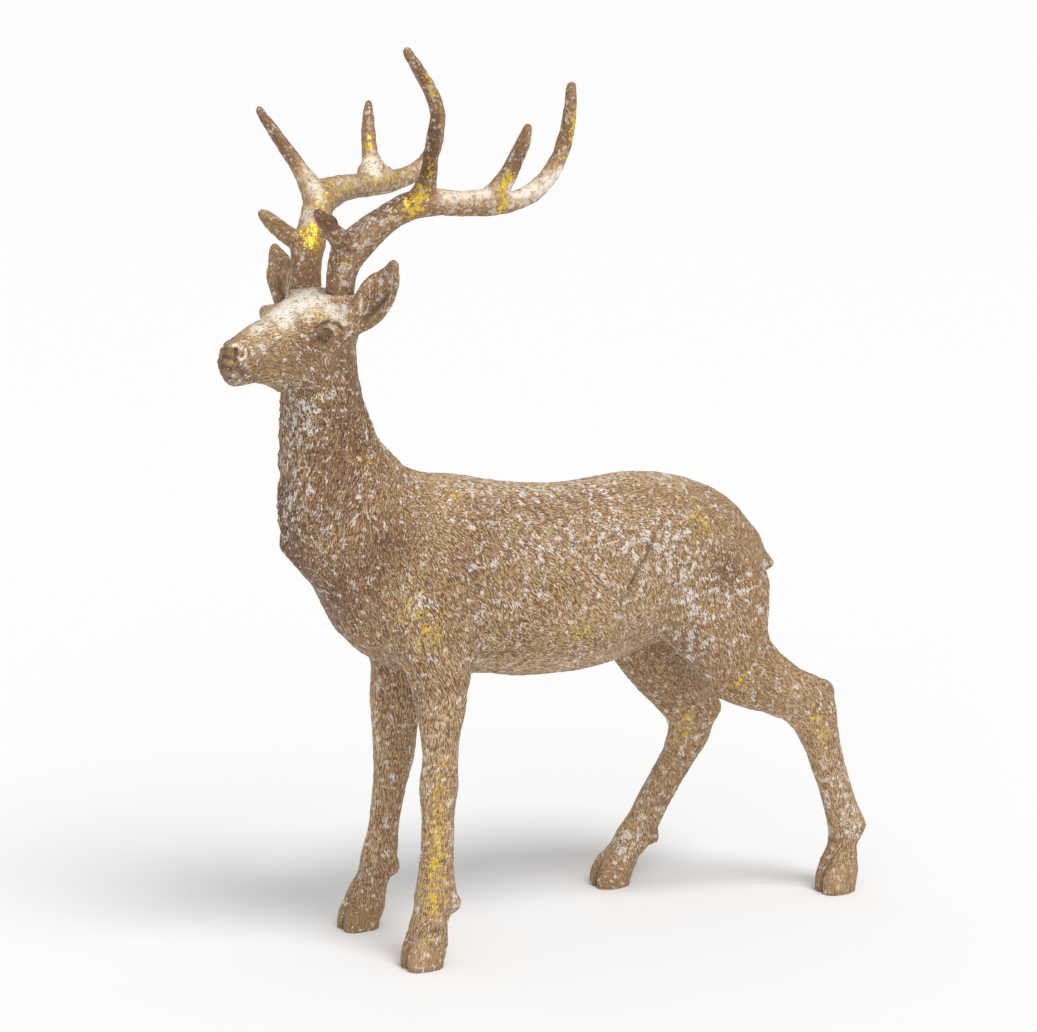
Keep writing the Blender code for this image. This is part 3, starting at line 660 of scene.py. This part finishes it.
def strewn(points, patches, mirrored=0.6):
    """How thickly the surface is strewn: the greatest of the patches' Gaussians.

    The side that the patches are not given for gets them fainter, mirrored and moved a little.
    """
    other = points.copy()
    other[:, 0] = 2 * MIDDLE_X - points[:, 0]
    other[:, 1] += 6.0
    other[:, 2] -= 4.0
    total = np.zeros(len(points))
    for line, reach, strength in patches:
        total = np.maximum(total, strength * near(points, line, reach))
        total = np.maximum(total, mirrored * strength * near(other, line, reach))
    return total


layers = {"crest": crest, "shade": shade, "lie": lie}
for name, patches in (("gold", GOLD), ("silver", SILVER), ("pale", PALE), ("rust", RUST_AND_SHADE)):
    layers[name] = strewn(points, patches)
# The pale layer: cream dry-brushing, and painted highlight on the forehead, the top of the back and
# neck and the face's ridges, none where shade is painted
layers["pale"] = np.maximum(layers["pale"] * (1 - shade), face_pale)
# Where the paint's strokes show less: on the head, the bare skin, the legs and towards the rump
layers["worn"] = np.maximum.reduce([
    0.75 * on_head, bare, 0.4 * on_leg, 0.15 + 0.35 * ease(points[:, 1], -40, 90)
])

body.data.vertices.foreach_set("co", (points * MM).astype(np.float32).ravel())
body.data.update()
for name, values in layers.items():
    paint(body.data, name, values)
thin(body, BODY_TRIANGLES, on_head)
body.data.shade_smooth()


class Wash:
    """A socket of a material's nodes. Its operators add Math nodes, and add() any other node."""

    def __init__(self, tree, socket=None):
        self.tree, self.socket = tree, socket

    def add(self, kind, values=(), out=0, **settings):
        """A node of a kind: its settings are set first, then its sockets' values or links."""
        node = self.tree.nodes.new("ShaderNode" + kind)
        for key, value in settings.items():
            setattr(node, key, value)
        for key, value in dict(values).items():
            if isinstance(value, Wash):
                self.tree.links.new(value.socket, node.inputs[key])
            else:
                node.inputs[key].default_value = value
        return Wash(self.tree, node.outputs[out])

    def math(self, operation, *values):
        return self.add("Math", dict(enumerate(values)), operation=operation)

    def __add__(self, other):
        return self.math("ADD", self, other)

    def __mul__(self, other):
        return self.math("MULTIPLY", self, other)

    def __sub__(self, other):
        return self.math("SUBTRACT", self, other)

    def __rsub__(self, other):
        return self.math("SUBTRACT", other, self)

    def __truediv__(self, other):
        return self.math("DIVIDE", self, other)

    def __rtruediv__(self, other):
        return self.math("DIVIDE", other, self)

    def __pow__(self, other):
        return self.math("POWER", self, other)

    __radd__, __rmul__ = __add__, __mul__


def rising(value, low, high):
    """0 below low, 1 above high and a smooth step between, as a node."""
    return value.add("MapRange", {0: value, 1: low, 2: high}, interpolation_type="SMOOTHSTEP")


def blend(factor, first, second, mode="MIX"):
    """Colour mixed from first to second; a colour may be a tuple of red, green and blue."""
    first, second = ((*c, 1.0) if isinstance(c, tuple) else c for c in (first, second))
    return factor.add(
        "Mix", {0: factor, 6: first, 7: second}, out=2, data_type="RGBA", blend_type=mode
    )


def drawn_noise(place, lie, width, length):
    """The strands' noise again, as nodes: seven directions from the stag's front to its back.

    The result is three independent noises, which lie around one half.
    """
    total = weights = None
    for degrees in (-50, -25, 0, 25, 50, 75, 100):
        turn = math.radians(degrees)
        line = (0.0, math.sin(turn), -math.cos(turn))
        match = lie.add("VectorMath", {0: lie, 1: line}, out=1, operation="DOT_PRODUCT")
        weight = match.math("ABSOLUTE", match) ** 24.0
        along = place.add("VectorMath", {0: place, 1: line}, out=1, operation="DOT_PRODUCT")
        pull = along * (1 / length - 1 / width)
        pulled = pull.add("VectorMath", {0: line, 3: pull}, operation="SCALE")
        drawn = pull.add(
            "VectorMath", {0: place, 1: (1 / width,) * 3, 2: pulled}, operation="MULTIPLY_ADD"
        )
        colour = drawn.add("TexNoise", {"Vector": drawn, "Scale": 1.0, "Detail": 1.0}, out=1)
        part = colour.add("VectorMath", {0: colour, 3: weight}, operation="SCALE")
        if total is None:
            total, weights = part, weight
        else:
            total = total.add("VectorMath", {0: total, 1: part}, operation="ADD")
            weights = weights + weight
    mixed = total.add("VectorMath", {0: total, 3: 1.0 / weights}, operation="SCALE")
    return [mixed.add("SeparateXYZ", {0: mixed}, out=i) for i in range(3)]


def flakes(place, size, share, seed):
    """Glitter flakes: where they lie, a chance for each, and their tilt as a height.

    A flake is a cell's middle part, in that share of the cells; seed moves the cells in metres.
    """
    moved = place.add("VectorMath", {0: place, 1: (seed, seed * 2.0, -seed)}, operation="ADD")
    cell = moved.add("TexVoronoi", {"Vector": moved, "Scale": 1 / size, "Randomness": 1.0}, out=0)
    colour, centre = (Wash(place.tree, cell.socket.node.outputs[i]) for i in (1, 2))
    luck, size_luck, hue = (colour.add("SeparateColor", {0: colour}, out=i) for i in range(3))
    there = luck.math("LESS_THAN", luck, share)
    edge = size_luck * 0.26 + 0.26
    round_edge = 1 - cell.add("MapRange", {0: cell, 1: edge - 0.08, 2: edge + 0.04})
    offset = moved.add("VectorMath", {0: moved, 1: centre}, operation="SUBTRACT")
    slope = colour.add("VectorMath", {0: colour, 1: (0.5, 0.5, 0.5)}, operation="SUBTRACT")
    tilt = offset.add("VectorMath", {0: offset, 1: slope}, out=1, operation="DOT_PRODUCT")
    mask = there * round_edge
    return mask, hue, tilt * mask


def srgb(red, green, blue):
    """A colour as a painter reads it, 0 to 255, as the light values that the shader takes."""
    return tuple(((c / 255 + 0.055) / 1.055) ** 2.4 if c > 10 else c / 255 / 12.92
                 for c in (red, green, blue))


# The paints, each in a yellower and a redder mix, thin and thick, or dull and bright
UMBER = srgb(92, 67, 40), srgb(100, 64, 44)
COPPER = srgb(146, 115, 75), srgb(144, 106, 72)
CHAMPAGNE = srgb(205, 180, 137), srgb(205, 172, 135)
# The whiter cream, where the pale layer is thickest on the forehead and the face's ridges, is painted
# highlight
CREAM = srgb(216, 184, 142), srgb(252, 242, 226)
SILVER_LEAF = srgb(204, 198, 190), srgb(240, 238, 234)
GOLD_LEAF = srgb(192, 150, 44), srgb(244, 212, 78)
CHALK = srgb(226, 221, 214)
# The colour of painted shade in hollows, grooves, creases and clefts, and the dark paint of the eye
# and muzzle
SHADE_AND_DARK_PAINT = srgb(80, 56, 46)
# Multiplied in as rust-brown wash, and as painted shade under the throat and chest
RUST_WASH_AND_SHADE = (0.5, 0.42, 0.36)

# The widths of the glitter's flakes, in metres
SILVER_FLAKE = 0.0012
GOLD_FLAKE = 0.0010


def resin(name, hair, strand_width, strand_length):
    """Coppery brown resin paint, dark in the cuts, champagne on the crests, with glitter.

    The paint's strokes are noise drawn out along the lie, as wide and long as given in metres.
    Hair is 1 where they follow the carved coat, and less where the casting is smoother.
    """
    material = bpy.data.materials.new(name)
    material.use_nodes = True
    tree = material.node_tree
    shader = tree.nodes["Principled BSDF"]
    start = Wash(tree)
    place = start.add("TexCoord", out=3)
    crest, shade, gold, silver, brushing_and_highlight, rust, worn = (
        start.add("Attribute", attribute_name=layer, out=2)
        for layer in ("crest", "shade", "gold", "silver", "pale", "rust", "worn")
    )
    lie = start.add("Attribute", attribute_name="lie", out=1)
    fine, hue, spot = drawn_noise(place, lie, strand_width, strand_length)
    blotch = place.add("TexNoise", {"Vector": place, "Scale": 60.0, "Detail": 4.0})
    patch = place.add("TexNoise", {"Vector": place, "Scale": 260.0, "Detail": 4.0})
    fleck = place.add("TexNoise", {"Vector": place, "Scale": 380.0, "Detail": 3.0})
    grain = place.add("TexNoise", {"Vector": place, "Scale": 1400.0, "Detail": 1.0})

    height = crest * (0.25 * hair) + rising(fine, 0.38, 0.62) * (1 - 0.25 * hair)
    height = height - (height - 0.5) * worn * 0.6 + (grain - 0.5) * 0.75
    reddish = rising(hue * 0.7 + blotch * 0.3 + rust * 0.1, 0.42, 0.6)
    colour = blend(rising(height, 0.08, 0.5), blend(reddish, *UMBER), blend(reddish, *COPPER))
    light = rising(height + brushing_and_highlight * 0.2, 0.5, 0.95) * 0.85
    colour = blend(light, colour, blend(reddish, *CHAMPAGNE))
    # The rust-brown wash, partly painted shade under the throat and chest and on the head's side
    colour = blend(rust, colour, RUST_WASH_AND_SHADE, mode="MULTIPLY")
    # Cream where the pale layer lies: dry-brushing, and painted highlight on the forehead, the back's
    # top and the face's ridges
    cream = blend(rising(brushing_and_highlight, 0.35, 0.8), *CREAM)
    colour = blend(brushing_and_highlight * rising(height * 0.6 + patch * 0.8, 0.3, 0.85), colour, cream)
    crust = rising(patch + silver * 0.15 + blotch * 0.25 + (spot - 0.5) * 0.6, 0.71, 0.81)
    colour = blend(crust * rising(height, 0.1, 0.6) * (0.4 + 0.4 * hair), colour, CHALK)
    # Painted shade in the hollows, grooves, creases and clefts, and the dark paint of the eye and
    # muzzle
    colour = blend(shade * 0.85, colour, SHADE_AND_DARK_PAINT)

    silver_mask, silver_hue, silver_tilt = flakes(place, SILVER_FLAKE, silver * 0.3 + 0.06, 0.0137)
    gold_mask, gold_hue, gold_tilt = flakes(place, GOLD_FLAKE, gold * 0.6 + 0.004, 0.0291)
    leaf = rising(fleck + (spot - 0.5) * 0.4 + gold * 0.4, 0.72, 0.8) * rising(height, 0.05, 0.4)
    gold_mask = gold_mask.math("MAXIMUM", gold_mask, leaf * gold.math("GREATER_THAN", gold, 0.12))
    colour = blend(silver_mask * 0.75, colour, blend(silver_hue, *SILVER_LEAF))
    colour = blend(gold_mask * 0.9, colour, blend(gold_hue, *GOLD_LEAF))
    tree.links.new(colour.socket, shader.inputs["Base Color"])

    flaked = silver_mask.math("MAXIMUM", silver_mask * 0.4, gold_mask * 0.55)
    metallic = height * 0.15 + flaked
    roughness = 0.62 - height * 0.12 - flaked * 0.3 + (grain - 0.5) * 0.2
    tree.links.new(metallic.math("MINIMUM", metallic, 1.0).socket, shader.inputs["Metallic"])
    tree.links.new(roughness.socket, shader.inputs["Roughness"])
    relief = fine * 0.5 + grain * 0.12
    first = relief.add("Bump", {"Strength": 1.0, "Distance": 0.0009, "Height": relief})
    tilt = silver_tilt + gold_tilt
    second = tilt.add("Bump", {"Strength": 0.8, "Distance": 1.0, "Height": tilt, "Normal": first})
    tree.links.new(second.socket, shader.inputs["Normal"])
    return material


body.data.materials.clear()
body.data.materials.append(resin("casting_resin", 1.0, 0.0006, 0.0030))
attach(body, "root")
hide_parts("body")

# ---- The antlers
# Two castings of the same resin, glued on flat seats on the skull. Their grooved bark is worn
# smooth and gilded by hand, thickest where the tines fork.

ANTLER_VOXEL = 0.42
ANTLER_TRIANGLES = 60000

# Where their paints settled, as on the casting. The pale patches are partly painted highlight on the
# tops, and the rust patches are partly painted shade at the roots and on the lower tines
ANTLER_GOLD = [
    ([(8, -123, 363), (5, -121, 367)], 6.5, 1.0),
    ([(0, -112, 378), (-12, -99, 386), (-20, -86, 387)], 7, 0.55),
    ([(-30, -70, 388), (-46, -43, 387)], 5.5, 0.5),
    ([(-48, -63, 406), (-42, -66, 395)], 5, 0.5),
    ([(48, -84, 387), (48, -88, 379)], 6, 0.85),
    ((46, -96, 378), 5, 0.5),
    ([(48, -39, 378), (49, -39, 386), (50, -36, 392)], 3.6, 1.0),
    ([(48, 2, 424), (47, 1, 410)], 2.6, 0.9),
    ((47, -2, 400), 4, 0.6),
    ([(-67, -19, 438), (-68, -16, 428)], 3, 0.7),
    ((39, -120, 355), 4, 0.5),
    ([(52, -80, 395), (60, -84, 404)], 2.5, 0.5),
]
ANTLER_SILVER = [
    ([(45, -60, 384), (50, -20, 383)], 14, 0.4),
    ([(-30, -70, 388), (-50, -40, 389)], 14, 0.35),
    ([(35, -123, 352), (42, -112, 368), (44, -102, 378)], 9, 0.4),
    ([(-66, -24, 442), (-67, -16, 426)], 6, 0.5),
]
ANTLER_PALE = [
    ([(-2, -112, 382), (-24, -110, 392)], 6, 0.75),
    ([(-36, -66, 390), (-41, -66, 396)], 7, 0.85),
    ([(-14, -100, 388), (-40, -50, 391), (-55, -28, 392)], 5, 0.6),
    ([(50, -70, 386), (48, -48, 387)], 6, 0.8),
    ([(48, -34, 386), (46, -18, 386), (46, -6, 393)], 6, 0.9),
    ([(38, -118, 350), (42, -112, 366)], 6, 0.3),
    ((-8, -121, 372), 4, 0.4),
    ([(-3, -119, 377), (2, -123, 371)], 5, 0.75),
]
ANTLER_RUST_AND_SHADE = [
    ([(42, -108, 380), (46, -92, 389), (54, -85, 398), (64, -86, 412), (72, -88, 424)], 6.5, 1.0),
    ([(-28, -117, 402), (-42, -125, 420)], 5, 0.55),
    ([(52, -31, 404), (50, -33, 396)], 5, 0.6),
    ([(48, -1, 420), (48, -2, 408)], 4, 0.45),
    ([(-65, -26, 443), (-67, -17, 428)], 4.5, 0.4),
    ([(10, -128, 352), (10, -128, 342)], 9, 0.5),
    ([(36, -121, 350), (40, -116, 366)], 11, 0.85),
    ([(38, -122, 374), (42, -104, 384)], 6, 0.6),
    ([(47, -139, 380), (46, -130, 375)], 6, 1.0),
]


# Where the antlers' forms differ from the solids', as for the casting
LEFT_FORM = [
    ((45, -130, 374), 4, 2.0, 1.5),
    ((38, -113, 373), 4, 1.5, -2.0),
    ((34, -122, 360), 5, -1.7, 0.0),
    ((48, -48, 386), 8, 0.0, 1.5),
]
RIGHT_FORM = [
    ((-64, -30, 448), 6, -2.0, 0.0),
    ((-43, -124, 422), 8, -1.5, 1.4),
    ((-40, -69, 393), 5, -4.0, 0.3),
    ((-40, -56, 390), 7, 0.8, 4.0),
    ((-1, -123, 373), 5, 2.2, 0.0),
    ((6, -131, 368), 4, 0.0, -1.4),
    ((-18, -105, 390), 8, 0.0, 1.0),
    ((-16, -92, 381), 6, 0.0, -1.0),
    ((-42, -52, 383), 6, 0.0, -1.0),
]


# The bark: the cubes that its lie is read from, the width and length of its grooves and of the
# finer cuts, and their depth, in millimetres
BARK_CUBE = 6.0
GROOVE = (3.0, 22.0)
CUT = (1.3, 6.0)
BARK_DEPTH = 0.3


def bark(points, normals):
    """The lie of the antler's grain: along the beam and its tines.

    The direction in which the normals of a neighbourhood change least is the limb's own axis. It
    is the weakest axis of the normals' scatter, summed over a grid of cubes and their neighbours.
    """
    cells = np.floor(points / BARK_CUBE).astype(int)
    cells -= cells.min(0)
    shape = cells.max(0) + 3
    scatter = np.zeros((*shape, 3, 3))
    outer = normals[:, :, None] * normals[:, None, :]
    np.add.at(scatter, (cells[:, 0] + 1, cells[:, 1] + 1, cells[:, 2] + 1), outer)
    summed = np.zeros_like(scatter)
    for step in itertools.product((-1, 0, 1), repeat=3):
        summed += np.roll(scatter, step, axis=(0, 1, 2))
    here = summed[cells[:, 0] + 1, cells[:, 1] + 1, cells[:, 2] + 1]
    _, axes = np.linalg.eigh(here)
    way = axes[:, :, 0]
    way = way * np.where(way[:, 2:3] + 0.3 * way[:, 1:2] < 0, -1.0, 1.0)
    way -= normals * (way * normals).sum(1, keepdims=True)
    return way / np.maximum(np.linalg.norm(way, axis=1, keepdims=True), 1e-6)


# How far an antler's foot sits in the glue, which hides the seam, in millimetres
GLUE_DEPTH = 1.1


def antler(node, name, moves):
    """One antler: its skin reformed, grained, painted and put in the node's place."""
    obj = skin_over(node, name, ANTLER_VOXEL, 6)
    points = reformed(gather(obj.data, "co").astype(float) / MM, moves)
    normals = gather(obj.data, "normal").astype(float)
    lie = bark(points, normals)
    grooves = parted(strands(points, lie, *GROOVE, 700), 0.4)
    cuts = parted(strands(points, lie, *CUT, 900), 0.4)
    strand = 0.5 * grooves + 0.5 * cuts
    rise = BARK_DEPTH * (strand - 0.65) + 0.2 * noise(points / 3.5, 31)
    seat = points[:, 2].min()
    foot = 1 - ease(points[:, 2], seat + 1.0, seat + 7.0)
    rise += 0.35 * foot * noise(points / 1.8, 33)
    moved = points + normals * (rise * ease(points[:, 2], seat, seat + 1.5))[:, None]
    moved[:, 2] -= GLUE_DEPTH * (1 - ease(points[:, 2], seat, seat + 2.0))
    obj.data.vertices.foreach_set("co", (moved * MM).astype(np.float32).ravel())
    obj.data.update()
    # Painted shade in the crack where the antler's foot is glued on, in patches
    crack = 1 - ease(points[:, 2], seat + 0.8, seat + 2.2)
    crack *= ease(noise(points / 4.0, 35), 0.1, 0.4)
    worn = np.full(len(points), 1.15)
    for layer, values in (("crest", strand), ("shade", crack), ("lie", lie), ("worn", worn)):
        paint(obj.data, layer, values)
    for layer, patches in (
        ("gold", ANTLER_GOLD),
        ("silver", ANTLER_SILVER),
        ("pale", ANTLER_PALE),
        ("rust", ANTLER_RUST_AND_SHADE),
    ):
        paint(obj.data, layer, strewn(points, patches, mirrored=0.0))
    thin(obj, ANTLER_TRIANGLES, np.zeros(len(points)))
    obj.data.shade_smooth()
    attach(obj, "root")
    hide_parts(node)
    return obj


antlers = [
    antler("antler_left", "left_antler", LEFT_FORM),
    antler("antler_right", "right_antler", RIGHT_FORM),
]
antler_paint = resin("antler_resin", 0.3, 0.0014, 0.0024)
for obj in antlers:
    obj.data.materials.clear()
    obj.data.materials.append(antler_paint)

# ---- The studio
# A plain pale floor that runs past the picture's edge, a white sky, a high soft lamp from in front
# and a weak one beside the camera, and the camera at the photograph's place.

FLOOR_HALF = 60
floor_mesh = bpy.data.meshes.new("floor")
corners = [(x * FLOOR_HALF, y * FLOOR_HALF, 0) for x, y in ((-1, -1), (1, -1), (1, 1), (-1, 1))]
floor_mesh.from_pydata(corners, [], [(0, 1, 2, 3)])
floor = bpy.data.objects.new("floor", floor_mesh)
bpy.context.scene.collection.objects.link(floor)
floor_paint = bpy.data.materials.new("floor_paint")
floor_paint.use_nodes = True
floor_shader = floor_paint.node_tree.nodes["Principled BSDF"]
floor_shader.inputs["Base Color"].default_value = (0.86, 0.86, 0.86, 1.0)
floor_shader.inputs["Roughness"].default_value = 0.9
floor_mesh.materials.append(floor_paint)

world = bpy.data.worlds.new("studio")
world.use_nodes = True
sky = world.node_tree.nodes["Background"]
sky.inputs["Color"].default_value = (1.0, 1.0, 1.0, 1.0)
sky.inputs["Strength"].default_value = 0.62
bpy.context.scene.world = world

# Each lamp's turn and the angle that it spreads over, in degrees, and its strength
for name, turn, strength, spread in (
    ("key", (30, 0, 100), 1.75, 25),
    ("fill", (70, 0, 60), 0.5, 60),
):
    lamp = bpy.data.lights.new(name, "SUN")
    lamp.energy = strength
    lamp.angle = math.radians(spread)
    light = bpy.data.objects.new(name, lamp)
    light.rotation_euler = [math.radians(a) for a in turn]
    bpy.context.scene.collection.objects.link(light)

# The camera as solved from the four soles: its focal length and the picture's width in pixels, its
# place in metres, and how many degrees it looks down and is turned
FOCAL_LENGTH = 3000.0
PICTURE_WIDTH = 1037.0
CAMERA_PLACE = (1.3245, -0.7491, 0.5045)
LOOKS_DOWN = 10.81
CAMERA_TURN = 60.6

lens = bpy.data.cameras.new("camera")
lens.sensor_width = 36.0
lens.lens = lens.sensor_width * FOCAL_LENGTH / PICTURE_WIDTH
lens.clip_end = 200.0
camera = bpy.data.objects.new("camera", lens)
camera.location = CAMERA_PLACE
camera.rotation_euler = (math.radians(90 - LOOKS_DOWN), 0.0, math.radians(CAMERA_TURN))
bpy.context.scene.collection.objects.link(camera)
bpy.context.scene.camera = camera
bpy.context.scene.view_settings.view_transform = "Standard"
